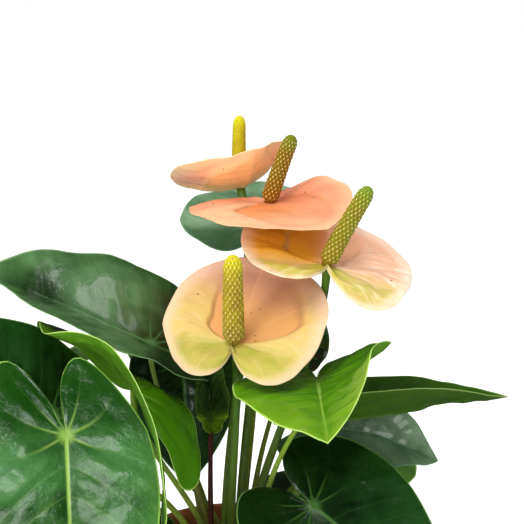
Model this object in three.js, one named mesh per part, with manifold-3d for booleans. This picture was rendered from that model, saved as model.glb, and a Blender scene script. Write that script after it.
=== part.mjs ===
// Potted flamingo flower: four blooms and nineteen leaves standing in a plain clay pot.
// Units are millimetres and +Z is up. The origin is the middle of the pot's flat underside.
// The side that the photo shows faces -Y, and its right-hand side is +X.
import * as THREE from 'three';
import { mergeVertices } from 'three/addons/utils/BufferGeometryUtils.js';
import Module from 'manifold-3d';

const wasm = await Module();
wasm.setup();
const { Manifold, Mesh } = wasm;

// Pot
const POT_HEIGHT = 115;
const POT_RIM_RADIUS = 65;
const POT_BASE_RADIUS = 44;
const POT_WALL = 5;
const POT_BAND_HEIGHT = 24;
const POT_BAND_STEP = 3.5;
const POT_FLOOR = 5;
const POT_SIDES = 40;
const DRAIN_RADIUS = 4;
const DRAIN_RING = 26;
const DRAIN_COUNT = 4;

// Potting mix
const MIX_TOP = 103;
const MIX_DOME = 3;
const MIX_RELIEF = 0.8;
const MIX_RINGS = 4;
const CLEARANCE = 0.3;
const ROOTED_DEPTH = 16;

// Blades
const LEAF_THICKNESS = 0.8;
const SPATHE_THICKNESS = 1.0;
const LEAF_RINGS = [0.22, 0.5, 0.78, 1];
const SPATHE_RINGS = [0.18, 0.4, 0.6, 0.82, 1];

// Heart outlines as [angle from the tip in degrees, reach]. The reach is 1 at the tip. Along the
// midrib it is a share of the blade's length, and across it a share of the blade's full width.
const LEAF_OUTLINE = [
  [0, 1], [11, 0.87], [26, 0.73], [46, 0.62], [68, 0.54], [90, 0.49], [112, 0.45],
  [132, 0.43], [149, 0.39], [163, 0.28], [173, 0.14], [180, 0.07],
];
const SPATHE_OUTLINE = [
  [0, 1], [9, 0.94], [24, 0.84], [44, 0.7], [66, 0.57], [90, 0.51], [112, 0.5],
  [130, 0.53], [145, 0.51], [157, 0.38], [167, 0.2], [180, 0.07],
];

// Stems
const PETIOLE_SIDES = 6;
const PETIOLE_STEPS = 10;
const PETIOLE_FOOT = 2.2;
const PETIOLE_TOP = 1.5;
const PEDUNCLE_SIDES = 8;
const PEDUNCLE_STEPS = 11;
const PEDUNCLE_FOOT = 2.7;
const PEDUNCLE_TOP = 2.3;

// Spadix
const SPADIX_COLUMNS = 14;
const SPADIX_RINGS = 18;
const FLORET_RELIEF = 0.55;
const SPADIX_SEAT = 0.8;

// Leaves. Pairs give the left half's value and then the right half's.
// at: where the petiole meets the blade. heading: compass way of the midrib, 0 along +X and 90
// along +Y. rise: its climb. roll: how far the blade's left half is lifted. droop: bend of the
// midrib towards the tip. lobes: lift of the back lobes. fold and curl: how far the halves rise, at
// once and on the way to the margin. close: further fold towards the tip. spread: how much wider
// the tip's half is than the back lobes. uneven: how much narrower the left half is. tail: how much
// longer the back lobes are. skew: how far the lobes lean aside for each unit they reach back.
// foot: place of the petiole's base round the crown, as [ring radius, angle]. reach: how far the
// petiole's two ends keep their direction. sway: how far its upper end bows aside.
const LEAVES = {
  front_left: {
    at: [-88.1, -89.9, 219.1], heading: -79.5, rise: -62, roll: 0, length: 128, width: 102, spread: 0.35,
    skew: [0.2, 0.36], droop: 17.9, lobes: [-8, -8], fold: [8, 8], curl: [-14, -16], foot: [17.5, 228],
    reach: [0.48, 0.225], sway: [-0.7, -1.5],
  },
  folded_left: {
    at: [-54.7, -54.5, 232.3], heading: 132, rise: 33.2, roll: -0.1, length: 100, width: 90,
    spread: -0.3, tail: 2.05, droop: 44.4, lobes: [-42, -30], fold: [56, -20], curl: [0, -10],
    close: [-30, -30], foot: [11, 235], reach: [0.391, 0.305], sway: [-1.2, 1],
  },
  broad_left: {
    at: [-50.8, 10.4, 241.6], heading: 181, rise: 27.5, roll: -21.6, length: 116, width: 124,
    spread: 0.2, droop: 8.8, lobes: [-6, -6], fold: [32, 18], curl: [-8, -20], foot: [11, 145],
    reach: [0.446, 0.277], sway: [2.6, 5.3],
  },
  young_middle: {
    at: [-14, 3.4, 196.4], heading: 98.3, rise: 66.1, roll: -0.9, length: 48, width: 36, spread: 0,
    tail: 1.2, droop: 0.2, lobes: [80, 80], fold: [50, 50], curl: [10, 10], foot: [11, 190],
    reach: [0.4, 0.3],
  },
  bright_right: {
    at: [49.9, -40.4, 234.8], heading: -89.7, rise: 1.8, roll: 8.2, length: 88, width: 97, spread: 0,
    droop: 12.9, lobes: [-4, -4], fold: [12, 14], curl: [16, -14], close: [20, 0], foot: [11, 325],
    reach: [0.71, 0.197],
  },
  boat_right: {
    at: [62, 2, 195], heading: 2, rise: 9, roll: -10, length: 109, width: 84, spread: 0, droop: 2,
    lobes: [-4, -4], fold: [24, 24], curl: [4, 10], foot: [11, 10], reach: [0.4, 0.3],
  },
  dark_right: {
    at: [48.2, -37.5, 155.6], heading: -24.2, rise: -31, roll: 33.9, length: 108, width: 110, spread: 0,
    droop: 18, lobes: [-8, -8], fold: [8, 10], curl: [-16, -10], foot: [17.5, 320], reach: [0.4, 0.3],
  },
  grey_right: {
    at: [57.9, 46.7, 174.8], heading: -13.1, rise: 4, roll: 20.2, length: 80, width: 92, spread: 0,
    droop: 39.6, lobes: [-10, -10], fold: [4, 10], curl: [-10, -8], foot: [17.5, 5],
    reach: [0.413, 0.314], sway: [1, -0.6],
  },
  low_middle: {
    at: [34, 52, 124], heading: 58, rise: 14, roll: -14, length: 76, width: 68, spread: 0, droop: 22,
    lobes: [-6, -6], fold: [8, 8], curl: [-12, -12], foot: [17.5, 55], reach: [0.4, 0.3],
  },
  far_left: {
    at: [-107.2, -25.5, 209.2], heading: 179.5, rise: 45, roll: -37.7, length: 96, width: 84, spread: 0,
    droop: 17.1, lobes: [-8, -8], fold: [10, 10], curl: [-12, -14], foot: [17.5, 206],
    reach: [0.454, 0.328], sway: [3.4, -2.5],
  },
  high_back: {
    at: [14.9, 96.3, 298.2], heading: 92, rise: 24, roll: 0, length: 74, width: 104, spread: 0,
    droop: 16, lobes: [-6, -6], fold: [8, 8], curl: [-10, -8], foot: [11, 100], reach: [0.466, 0.303],
    sway: [-0.6, -0.9],
  },
  inner_right: {
    at: [42, 60, 222], heading: 84, rise: 32, roll: 0, length: 54, width: 40, spread: 0, droop: 18,
    lobes: [0, 0], fold: [12, 12], curl: [-10, -12], foot: [11, 55], reach: [0.4, 0.3], sway: [-16, 6],
  },
  low_left: {
    at: [-33.5, 41.8, 221.2], heading: -78.2, rise: -64.1, roll: -1.7, length: 78, width: 70, spread: 0,
    droop: 14.6, lobes: [-6, -6], fold: [8, 8], curl: [-12, -12], foot: [17.5, 143],
    reach: [0.561, 0.278], sway: [-6.9, 8.8],
  },
  back_left: {
    at: [-76.5, 80.3, 228.2], heading: 146.5, rise: -23.7, roll: 0.2, length: 114, width: 100, spread: 0,
    droop: 27.4, lobes: [-6, -6], fold: [10, 10], curl: [-16, -16], foot: [17.5, 122],
    reach: [0.463, 0.282], sway: [-0.5, 1.5],
  },
  back_middle: {
    at: [9, 119, 246], heading: 90, rise: -8, roll: 0, length: 96, width: 82, spread: 0, droop: 16,
    lobes: [-6, -6], fold: [10, 10], curl: [-16, -16], foot: [17.5, 78], reach: [0.45, 0.3],
    sway: [14, 6],
  },
  back_right: {
    at: [72, 86, 152], heading: 46, rise: -24, roll: 0, length: 94, width: 84, spread: 0, droop: 26,
    lobes: [-6, -6], fold: [10, 10], curl: [-16, -16], foot: [17.5, 30], reach: [0.7, 0.3],
  },
  back_low: {
    at: [-56, 92, 150], heading: 138, rise: -24, roll: 0, length: 88, width: 80, spread: 0, droop: 24,
    lobes: [-6, -6], fold: [10, 10], curl: [-14, -14], foot: [17.5, 101], reach: [0.45, 0.3],
  },
  side_left: {
    at: [-84, 24, 138], heading: 180, rise: -26, roll: 0, length: 100, width: 88, spread: 0, droop: 24,
    lobes: [-6, -6], fold: [10, 10], curl: [-16, -16], foot: [17.5, 185], reach: [0.45, 0.3],
  },
  front_low: {
    at: [-34, -62, 130], heading: -112, rise: -30, roll: 0, length: 92, width: 84, spread: 0, droop: 18,
    lobes: [-6, -6], fold: [10, 10], curl: [-14, -14], foot: [17.5, 262], reach: [0.45, 0.3],
  },
};

// Blooms. The spathe is placed as a leaf is. lean is the spadix's way, as [heading, tilt from
// upright], spadix its length and girth its radius.
const BLOOMS = {
  back: {
    at: [4, 68, 331], heading: -76, rise: 18, roll: 18, length: 62, width: 80, spread: 0, uneven: 0.14,
    droop: -26, lobes: [14, 14], fold: [8, 12], curl: [22, 28], lean: [90, 14], spadix: 45.5, girth: 4.9,
    foot: [5, 160], reach: [0.4, 0.3],
  },
  top: {
    at: [22.5, 33, 326.3], heading: -61.2, rise: 0.8, roll: 8.6, length: 68, width: 92, spread: 0,
    uneven: 0.14, droop: 11.9, lobes: [-40, -5], fold: [5, 8], curl: [14, -2], lean: [-43, 25],
    spadix: 46.5, girth: 5.1, foot: [5, 70], reach: [0.36, 0.291], sway: [-5.5, 35.4],
  },
  right: {
    at: [55.8, -18.3, 298.1], heading: 85.1, rise: 22.5, roll: 1.6, length: 62, width: 100, spread: 0,
    tail: 1.15, droop: 9.9, lobes: [16, -22], fold: [10, -12], curl: [6, -6], lean: [-22, 29],
    spadix: 53, girth: 5.4, foot: [5, 340], reach: [0.374, 0.311], sway: [9.4, 14],
  },
  front: {
    at: [2, -38.6, 256.8], heading: 71, rise: 37, roll: 4, length: 70, width: 91, spread: 0,
    uneven: 0.07, skew: [0.28, 0], droop: 8, lobes: [4, 4], fold: [12, 8], curl: [-2, -6],
    lean: [-90, 12], spadix: 54, girth: 6.1, foot: [5, 250], reach: [0.4, 0.3],
  },
};

const COLOURS = {
  leaf: 0x2f5a1e,
  petiole: 0x6b7d2a,
  spathe: 0xf3b98c,
  spadix: 0xb9b23a,
  peduncle: 0x4e6d1c,
  pot: 0xb4623e,
  mix: 0x3a2a1f,
};

const radians = THREE.MathUtils.degToRad;

function material(colour, roughness) {
  return new THREE.MeshStandardMaterial({ color: colour, roughness, metalness: 0 });
}

// Closed mesh from points and triangles, with shared points and outward faces.
function solidGeometry(points, faces) {
  const geometry = new THREE.BufferGeometry();
  const flat = points.flatMap((p) => [p.x, p.y, p.z]);
  geometry.setAttribute('position', new THREE.Float32BufferAttribute(flat, 3));
  geometry.setIndex(faces.flat());
  return geometry;
}

function toManifold(geometry) {
  const bare = geometry.clone();
  bare.deleteAttribute('normal');
  bare.deleteAttribute('uv');
  const merged = mergeVertices(bare, 1e-4);
  return new Manifold(new Mesh({
    numProp: 3,
    vertProperties: new Float32Array(merged.attributes.position.array),
    triVerts: new Uint32Array(merged.index.array),
  }));
}

function fromManifold(solid) {
  const mesh = solid.getMesh();
  const geometry = new THREE.BufferGeometry();
  geometry.setAttribute('position', new THREE.BufferAttribute(new Float32Array(mesh.vertProperties), 3));
  geometry.setIndex(Array.from(mesh.triVerts));
  return geometry;
}

function smooth(value, low, high) {
  const t = THREE.MathUtils.clamp((value - low) / (high - low), 0, 1);
  return t * t * (3 - 2 * t);
}

// Smooth reading of an outline table: cubic between its entries, level at both ends.
function reachAt(outline, degrees) {
  const last = outline.length - 1;
  let i = 0;
  while (i < last - 1 && outline[i + 1][0] < degrees) {
    i += 1;
  }
  const slope = (k) => {
    if (k === 0) {
      return (outline[1][1] - outline[0][1]) / outline[1][0];
    }
    if (k === last) {
      return 0;
    }
    return (outline[k + 1][1] - outline[k - 1][1]) / (outline[k + 1][0] - outline[k - 1][0]);
  };
  const span = outline[i + 1][0] - outline[i][0];
  const t = (degrees - outline[i][0]) / span;
  const a = outline[i][1];
  const b = outline[i + 1][1];
  const c = slope(i) * span;
  const d = slope(i + 1) * span;
  const near = a * (1 + 2 * t) * (1 - t) ** 2 + c * t * (1 - t) ** 2;
  const far = b * t * t * (3 - 2 * t) + d * t * t * (t - 1);
  return near + far;
}

// Directions of a blade at its junction: along the midrib, to its left, and out of its upper face.
function bladeAxes(spec) {
  const h = radians(spec.heading);
  const r = radians(spec.rise);
  const along = new THREE.Vector3(Math.cos(h) * Math.cos(r), Math.sin(h) * Math.cos(r), Math.sin(r));
  const left = new THREE.Vector3(-Math.sin(h), Math.cos(h), 0);
  left.applyAxisAngle(along, radians(spec.roll));
  const up = new THREE.Vector3().crossVectors(along, left);
  return { along, left, up };
}

// Distance walked along an arc that turns at an even rate: [forward, sideways].
function arc(distance, turnPerUnit) {
  if (Math.abs(turnPerUnit) < 1e-6) {
    return [distance, 0];
  }
  const angle = distance * turnPerUnit;
  return [Math.sin(angle) / turnPerUnit, (1 - Math.cos(angle)) / turnPerUnit];
}

// Point of the bent blade whose flat place is u to the left of the midrib and v along it.
function bladePoint(spec, axes, u, v) {
  const side = u >= 0 ? 0 : 1;
  const [leftLobe, rightLobe] = spec.lobes;
  const lobes = rightLobe + (leftLobe - rightLobe) * smooth(u, -4, 4);
  const turn = v >= 0 ? radians(-spec.droop) / spec.length : radians(lobes) / (0.4 * spec.length);
  const distance = Math.abs(v);
  const way = Math.sign(v) || 1;
  const [forward, lifted] = arc(distance, turn);
  const point = new THREE.Vector3(...spec.at);
  point.addScaledVector(axes.along, way * forward).addScaledVector(axes.up, lifted);
  const angle = distance * turn;
  const up = axes.up.clone().multiplyScalar(Math.cos(angle));
  up.addScaledVector(axes.along, -way * Math.sin(angle));
  const closing = spec.close ? spec.close[side] * smooth(v / spec.length, 0, 0.5) : 0;
  const fold = radians(spec.fold[side] + closing);
  const curl = radians(spec.curl[side]) / (spec.width / 2);
  const [out, raised] = arc(Math.abs(u), curl);
  const across = Math.cos(fold) * out - Math.sin(fold) * raised;
  const rise = Math.sin(fold) * out + Math.cos(fold) * raised;
  return point.addScaledVector(axes.left, Math.sign(u) * across).addScaledVector(up, rise);
}

function bladeNormal(spec, axes, u, v) {
  const step = 0.05;
  const alongV = bladePoint(spec, axes, u, v + step).sub(bladePoint(spec, axes, u, v - step));
  const alongU = bladePoint(spec, axes, u + step, v).sub(bladePoint(spec, axes, u - step, v));
  return alongV.cross(alongU).normalize();
}

// Flat place [u, v] of the blade's net: angle from the midrib and share of the way to the margin.
function flatPlace(spec, outline, degrees, share) {
  const reach = reachAt(outline, Math.abs(degrees)) * share;
  const angle = radians(degrees);
  const side = degrees >= 0 ? 0 : 1;
  const ahead = reach * Math.cos(angle);
  const wider = 1 + spec.spread * (ahead - 0.35);
  const v = ahead * spec.length * (ahead < 0 ? spec.tail ?? 1 : 1);
  const width = spec.width * (1 - (spec.uneven ?? 0) * Math.sign(degrees));
  const skew = (spec.skew ?? [0, 0])[side];
  return [reach * Math.sin(angle) * width * wider + skew * Math.min(v, 0), v];
}

// Heart-shaped blade of even thickness. Both faces are split into the same triangles.
function bladeGeometry(spec, outline, rings, thickness) {
  const axes = bladeAxes(spec);
  const half = outline.map(([degrees]) => degrees);
  const rightHalf = half.slice(1, -1).reverse().map((degrees) => -degrees);
  const spokes = [...half, ...rightHalf];
  const places = [[0, 0]];
  for (const ring of rings) {
    for (const degrees of spokes) {
      places.push(flatPlace(spec, outline, degrees, ring));
    }
  }
  const upper = [];
  const lower = [];
  for (const [u, v] of places) {
    const point = bladePoint(spec, axes, u, v);
    const offset = bladeNormal(spec, axes, u, v).multiplyScalar(thickness / 2);
    upper.push(point.clone().add(offset));
    lower.push(point.sub(offset));
  }
  const count = spokes.length;
  const faces = [];
  for (let i = 0; i < count; i += 1) {
    faces.push([0, 1 + ((i + 1) % count), 1 + i]);
  }
  for (let r = 0; r < rings.length - 1; r += 1) {
    for (let i = 0; i < count; i += 1) {
      const a = 1 + r * count + i;
      const b = 1 + r * count + ((i + 1) % count);
      faces.push([a, b, b + count], [a, b + count, a + count]);
    }
  }
  const shift = places.length;
  const solid = [];
  for (const [a, b, c] of faces) {
    solid.push([a, b, c], [a + shift, c + shift, b + shift]);
  }
  const edge = 1 + (rings.length - 1) * count;
  for (let i = 0; i < count; i += 1) {
    const a = edge + i;
    const b = edge + ((i + 1) % count);
    solid.push([a, b, b + shift], [a, b + shift, a + shift]);
  }
  return outward(solidGeometry([...upper, ...lower], solid));
}

// Turns every face round if the mesh encloses a negative volume.
function outward(geometry) {
  const index = Array.from(geometry.index.array);
  const position = geometry.attributes.position;
  const corner = (i) => new THREE.Vector3().fromBufferAttribute(position, i);
  let volume = 0;
  for (let i = 0; i < index.length; i += 3) {
    volume += corner(index[i]).dot(corner(index[i + 1]).cross(corner(index[i + 2])));
  }
  if (volume < 0) {
    index.reverse();
    geometry.setIndex(index);
  }
  return geometry;
}

// Round tapered stem along a curve. Its last ring lies in the plane through `cut.point` square to
// `cut.normal`, so that it ends flush under a tilted blade.
function stemGeometry(curve, sides, steps, radiusAt, cut) {
  const frames = curve.computeFrenetFrames(steps, false);
  const points = [];
  const faces = [];
  for (let s = 0; s <= steps; s += 1) {
    const t = s / steps;
    const centre = curve.getPointAt(t);
    for (let i = 0; i < sides; i += 1) {
      const angle = 2 * Math.PI * i / sides;
      const spoke = frames.normals[s].clone().multiplyScalar(Math.cos(angle));
      spoke.addScaledVector(frames.binormals[s], Math.sin(angle));
      const point = centre.clone().addScaledVector(spoke, radiusAt(t));
      if (s === steps && cut) {
        const tangent = frames.tangents[s];
        const gap = cut.point.clone().sub(point).dot(cut.normal);
        point.addScaledVector(tangent, gap / tangent.dot(cut.normal));
      }
      points.push(point);
    }
  }
  for (let s = 0; s < steps; s += 1) {
    for (let i = 0; i < sides; i += 1) {
      const a = s * sides + i;
      const b = s * sides + ((i + 1) % sides);
      faces.push([a, b, b + sides], [a, b + sides, a + sides]);
    }
  }
  for (let i = 1; i < sides - 1; i += 1) {
    const top = steps * sides;
    faces.push([0, i + 1, i], [top, top + i, top + i + 1]);
  }
  return outward(solidGeometry(points, faces));
}

// Way of a stem from its foot in the mix to just under a blade's junction, a little lower where a
// half of the blade folds down beside the stem.
function stemPath(spec, thickness, topRadius, arrival, extra) {
  const { up } = bladeAxes(spec);
  const dip = radians(Math.max(0, -spec.fold[0], -spec.fold[1]));
  const depth = thickness / 2 + CLEARANCE + topRadius * Math.tan(dip);
  const end = new THREE.Vector3(...spec.at).addScaledVector(up, -depth);
  const [ring, angle] = spec.foot;
  const footX = ring * Math.cos(radians(angle));
  const footY = ring * Math.sin(radians(angle));
  const lean = new THREE.Vector3(footX * 0.012, footY * 0.012, 1).normalize();
  const foot = new THREE.Vector3(footX, footY, MIX_TOP - ROOTED_DEPTH - extra);
  const span = foot.distanceTo(end);
  const first = foot.clone().addScaledVector(lean, span * spec.reach[0]);
  const second = end.clone().addScaledVector(arrival, -span * spec.reach[1]);
  const [swayX, swayY] = spec.sway ?? [0, 0];
  second.add(new THREE.Vector3(swayX, swayY, 0));
  return { curve: new THREE.CubicBezierCurve3(foot, first, second, end), cut: { point: end, normal: up } };
}

// A stem arrives between the blade's upward way and the straight line from the crown.
function arrivalWay(spec) {
  const { up } = bladeAxes(spec);
  const straight = new THREE.Vector3(...spec.at).sub(new THREE.Vector3(0, 0, MIX_TOP)).normalize();
  return up.clone().multiplyScalar(0.75).addScaledVector(straight, 0.6).normalize();
}

function petiole(spec, grow) {
  const { curve, cut } = stemPath(spec, LEAF_THICKNESS, PETIOLE_TOP + 0.4, arrivalWay(spec), grow);
  const radiusAt = (t) => {
    const taper = PETIOLE_FOOT + (PETIOLE_TOP - PETIOLE_FOOT) * Math.min(1, t * 1.4);
    const knee = 0.4 * Math.exp(-(((t - 0.96) / 0.05) ** 2));
    return taper + knee + grow;
  };
  return stemGeometry(curve, PETIOLE_SIDES, PETIOLE_STEPS, radiusAt, cut);
}

function peduncle(spec, grow) {
  const { curve, cut } = stemPath(spec, SPATHE_THICKNESS, PEDUNCLE_TOP + 0.5, arrivalWay(spec), grow);
  const radiusAt = (t) => {
    const taper = PEDUNCLE_FOOT + (PEDUNCLE_TOP - PEDUNCLE_FOOT) * t;
    const flare = 0.5 * Math.exp(-(((t - 1) / 0.04) ** 2));
    return taper + flare + grow;
  };
  return stemGeometry(curve, PEDUNCLE_SIDES, PEDUNCLE_STEPS, radiusAt, cut);
}

// Blunt finger covered in florets. Every second point of its net stands out as one floret.
function spadixGeometry(spec) {
  const { up } = bladeAxes(spec);
  const start = new THREE.Vector3(...spec.at).addScaledVector(up, SPATHE_THICKNESS / 2 + SPADIX_SEAT);
  const heading = radians(spec.lean[0]);
  const tilt = radians(spec.lean[1]);
  const axis = new THREE.Vector3(
    Math.sin(tilt) * Math.cos(heading),
    Math.sin(tilt) * Math.sin(heading),
    Math.cos(tilt),
  );
  const middle = start.clone().addScaledVector(up, spec.spadix * 0.22);
  const end = start.clone().addScaledVector(axis, spec.spadix);
  const bend = start.clone().lerp(end, 0.55).addScaledVector(middle.sub(start), 0.25);
  const curve = new THREE.QuadraticBezierCurve3(start, bend, end);
  const frames = curve.computeFrenetFrames(SPADIX_RINGS, false);
  const profile = (t) => {
    const foot = Math.min(1, 0.5 + t * 7);
    const tip = Math.sqrt(Math.max(0, 1 - Math.max(0, (t - 0.85) / 0.15) ** 2));
    return spec.girth * foot * (1 - 0.2 * t) * Math.max(tip, 0.02);
  };
  const points = [];
  const faces = [];
  for (let s = 0; s < SPADIX_RINGS; s += 1) {
    const t = s / SPADIX_RINGS;
    const centre = curve.getPointAt(t);
    for (let i = 0; i < SPADIX_COLUMNS; i += 1) {
      const angle = 2 * Math.PI * i / SPADIX_COLUMNS;
      const spoke = frames.normals[s].clone().multiplyScalar(Math.cos(angle));
      spoke.addScaledVector(frames.binormals[s], Math.sin(angle));
      const floret = s > 0 && (i + s) % 2 === 0 ? FLORET_RELIEF : 0;
      const point = centre.clone().addScaledVector(spoke, profile(t) + floret);
      if (s === 0) {
        const gap = start.clone().sub(point).dot(up);
        point.addScaledVector(frames.tangents[0], gap / frames.tangents[0].dot(up));
      }
      points.push(point);
    }
  }
  points.push(start.clone(), curve.getPointAt(1));
  const foot = points.length - 2;
  const tip = points.length - 1;
  for (let i = 0; i < SPADIX_COLUMNS; i += 1) {
    const next = (i + 1) % SPADIX_COLUMNS;
    for (let s = 0; s < SPADIX_RINGS - 1; s += 1) {
      const a = s * SPADIX_COLUMNS + i;
      const b = s * SPADIX_COLUMNS + next;
      const c = b + SPADIX_COLUMNS;
      const d = a + SPADIX_COLUMNS;
      if ((i + s) % 2 === 0) {
        faces.push([a, b, d], [b, c, d]);
      } else {
        faces.push([a, b, c], [a, c, d]);
      }
    }
    const top = (SPADIX_RINGS - 1) * SPADIX_COLUMNS;
    faces.push([foot, next, i], [tip, top + i, top + next]);
  }
  return outward(solidGeometry(points, faces));
}

// Pot turned about Z, with a band round the rim and drain holes through its floor.
function potGeometry() {
  const bandFoot = POT_HEIGHT - POT_BAND_HEIGHT;
  const slope = (POT_RIM_RADIUS - POT_BAND_STEP - POT_BASE_RADIUS) / bandFoot;
  const outside = (z) => POT_BASE_RADIUS + slope * z;
  const inside = (z) => outside(z) - POT_WALL;
  const profile = [
    [0, 0], [POT_BASE_RADIUS - 1.5, 0], [outside(1.5), 1.5], [outside(bandFoot), bandFoot],
    [POT_RIM_RADIUS - 1, bandFoot + 1], [POT_RIM_RADIUS, POT_HEIGHT - 2], [POT_RIM_RADIUS - 2, POT_HEIGHT],
    [POT_RIM_RADIUS - POT_WALL, POT_HEIGHT], [POT_RIM_RADIUS - POT_WALL - 1.5, POT_HEIGHT - 2],
    [inside(bandFoot), bandFoot - 4], [inside(POT_FLOOR + 3), POT_FLOOR + 3],
    [inside(POT_FLOOR) - 3, POT_FLOOR], [0, POT_FLOOR],
  ];
  const lathe = new THREE.LatheGeometry(profile.map(([r, z]) => new THREE.Vector2(r, z)), POT_SIDES);
  lathe.rotateX(Math.PI / 2);
  let pot = toManifold(outward(mergedCopy(lathe)));
  for (let i = 0; i < DRAIN_COUNT; i += 1) {
    const angle = 2 * Math.PI * (i + 0.5) / DRAIN_COUNT;
    const drill = new THREE.CylinderGeometry(DRAIN_RADIUS, DRAIN_RADIUS, POT_FLOOR * 3, 16);
    drill.rotateX(Math.PI / 2);
    drill.translate(DRAIN_RING * Math.cos(angle), DRAIN_RING * Math.sin(angle), POT_FLOOR / 2);
    pot = pot.subtract(toManifold(drill));
  }
  return fromManifold(pot);
}

function mergedCopy(geometry) {
  const bare = geometry.clone();
  bare.deleteAttribute('normal');
  bare.deleteAttribute('uv');
  return mergeVertices(bare, 1e-4);
}

// Body of the mix: it follows the pot's inside and has a low crumbly dome for its top.
function mixGeometry(stems) {
  const bandFoot = POT_HEIGHT - POT_BAND_HEIGHT;
  const slope = (POT_RIM_RADIUS - POT_BAND_STEP - POT_BASE_RADIUS) / bandFoot;
  const inside = (z) => POT_BASE_RADIUS + slope * z - POT_WALL - CLEARANCE;
  const low = POT_FLOOR + CLEARANCE;
  const topRadius = inside(bandFoot) - 0.3;
  const points = [new THREE.Vector3(0, 0, low)];
  const rows = [[inside(low) - 3.5, low], [inside(low + 4) - 0.3, low + 4], [topRadius, bandFoot - 4]];
  const relief = (radius, angle) => {
    const lumps = Math.sin(radius * 0.9 + angle * 5) * Math.cos(angle * 7 - radius * 0.4);
    return MIX_RELIEF * lumps;
  };
  for (let k = MIX_RINGS; k > 0; k -= 1) {
    rows.push([topRadius * k / MIX_RINGS, MIX_TOP + MIX_DOME * (1 - (k / MIX_RINGS) ** 2) - MIX_DOME, true]);
  }
  rows.forEach(([radius, z, crumbly]) => {
    for (let i = 0; i < POT_SIDES; i += 1) {
      const angle = 2 * Math.PI * i / POT_SIDES;
      const height = crumbly ? z + relief(radius, angle) : z;
      points.push(new THREE.Vector3(radius * Math.cos(angle), radius * Math.sin(angle), height));
    }
  });
  points.push(new THREE.Vector3(0, 0, MIX_TOP));
  const crown = points.length - 1;
  const faces = [];
  for (let i = 0; i < POT_SIDES; i += 1) {
    const next = (i + 1) % POT_SIDES;
    faces.push([0, 1 + next, 1 + i]);
    for (let k = 0; k < rows.length - 1; k += 1) {
      const a = 1 + k * POT_SIDES + i;
      const b = 1 + k * POT_SIDES + next;
      faces.push([a, b, b + POT_SIDES], [a, b + POT_SIDES, a + POT_SIDES]);
    }
    const last = 1 + (rows.length - 1) * POT_SIDES;
    faces.push([crown, last + i, last + next]);
  }
  let mix = toManifold(outward(solidGeometry(points, faces)));
  for (const stem of stems) {
    mix = mix.subtract(toManifold(stem));
  }
  return fromManifold(mix);
}

const plant = new THREE.Group();
plant.name = 'potted_flamingo_flower';

function add(name, geometry, colour, roughness) {
  geometry.computeVertexNormals();
  const mesh = new THREE.Mesh(geometry, material(colour, roughness));
  mesh.name = name;
  plant.add(mesh);
}

const holes = [];
for (const [place, spec] of Object.entries(LEAVES)) {
  const leaf = bladeGeometry(spec, LEAF_OUTLINE, LEAF_RINGS, LEAF_THICKNESS);
  add(`leaf_${place}_blade`, leaf, COLOURS.leaf, 0.4);
  add(`leaf_${place}_petiole`, petiole(spec, 0), COLOURS.petiole, 0.5);
  holes.push(petiole(spec, CLEARANCE));
}
for (const [place, spec] of Object.entries(BLOOMS)) {
  const spathe = bladeGeometry(spec, SPATHE_OUTLINE, SPATHE_RINGS, SPATHE_THICKNESS);
  add(`bloom_${place}_spathe`, spathe, COLOURS.spathe, 0.35);
  add(`bloom_${place}_spadix`, spadixGeometry(spec), COLOURS.spadix, 0.6);
  add(`bloom_${place}_peduncle`, peduncle(spec, 0), COLOURS.peduncle, 0.45);
  holes.push(peduncle(spec, CLEARANCE));
}
add('pot', potGeometry(), COLOURS.pot, 0.85);
add('potting_mix', mixGeometry(holes), COLOURS.mix, 0.95);

export default plant;
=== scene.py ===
import math

import bmesh
import bpy
import numpy as np
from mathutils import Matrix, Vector


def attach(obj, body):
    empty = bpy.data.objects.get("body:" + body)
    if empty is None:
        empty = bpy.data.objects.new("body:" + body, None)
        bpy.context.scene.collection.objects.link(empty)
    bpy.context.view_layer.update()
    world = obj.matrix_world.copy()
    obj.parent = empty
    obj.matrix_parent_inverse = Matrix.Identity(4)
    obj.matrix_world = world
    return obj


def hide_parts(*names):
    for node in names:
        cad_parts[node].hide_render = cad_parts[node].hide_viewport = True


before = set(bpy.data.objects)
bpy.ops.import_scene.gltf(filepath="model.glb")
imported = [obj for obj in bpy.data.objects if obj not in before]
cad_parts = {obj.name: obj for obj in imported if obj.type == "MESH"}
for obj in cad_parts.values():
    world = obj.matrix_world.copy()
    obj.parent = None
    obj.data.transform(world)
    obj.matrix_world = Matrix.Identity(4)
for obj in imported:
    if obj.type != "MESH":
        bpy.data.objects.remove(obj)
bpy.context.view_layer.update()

# Potted flamingo flower. Lengths are in millimetres until mesh_object() writes them in metres.
# The frame is the CAD model's: +Z up, the photographed side faces -Y, +X on its right.
MM = 0.001

# Camera, fitted to the photograph
LENS = 85.0
SENSOR = 36.0
TARGET = Vector((0.018, 0.0, 0.296))
DISTANCE = 0.742
ELEVATION = math.radians(12.0)

# Pot and mix
POT_HEIGHT = 115.0
POT_RIM_RADIUS = 65.0
POT_BASE_RADIUS = 44.0
POT_WALL = 5.0
POT_BAND_HEIGHT = 24.0
POT_BAND_STEP = 3.5
POT_BAND_FOOT = POT_HEIGHT - POT_BAND_HEIGHT
POT_FLOOR = 5.0
DRAIN_RADIUS = 4.0
DRAIN_RING = 26.0
DRAIN_COUNT = 4
MIX_TOP = 103.0
MIX_DOME = 3.0
MIX_RADIUS = 56.0
MIX_EDGE = POT_BAND_FOOT - 4
MIX_BEVEL_WIDTH = 3.5
MIX_BEVEL_HEIGHT = 4.0
CLEARANCE = 0.3
ROOTED_DEPTH = 16.0

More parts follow.
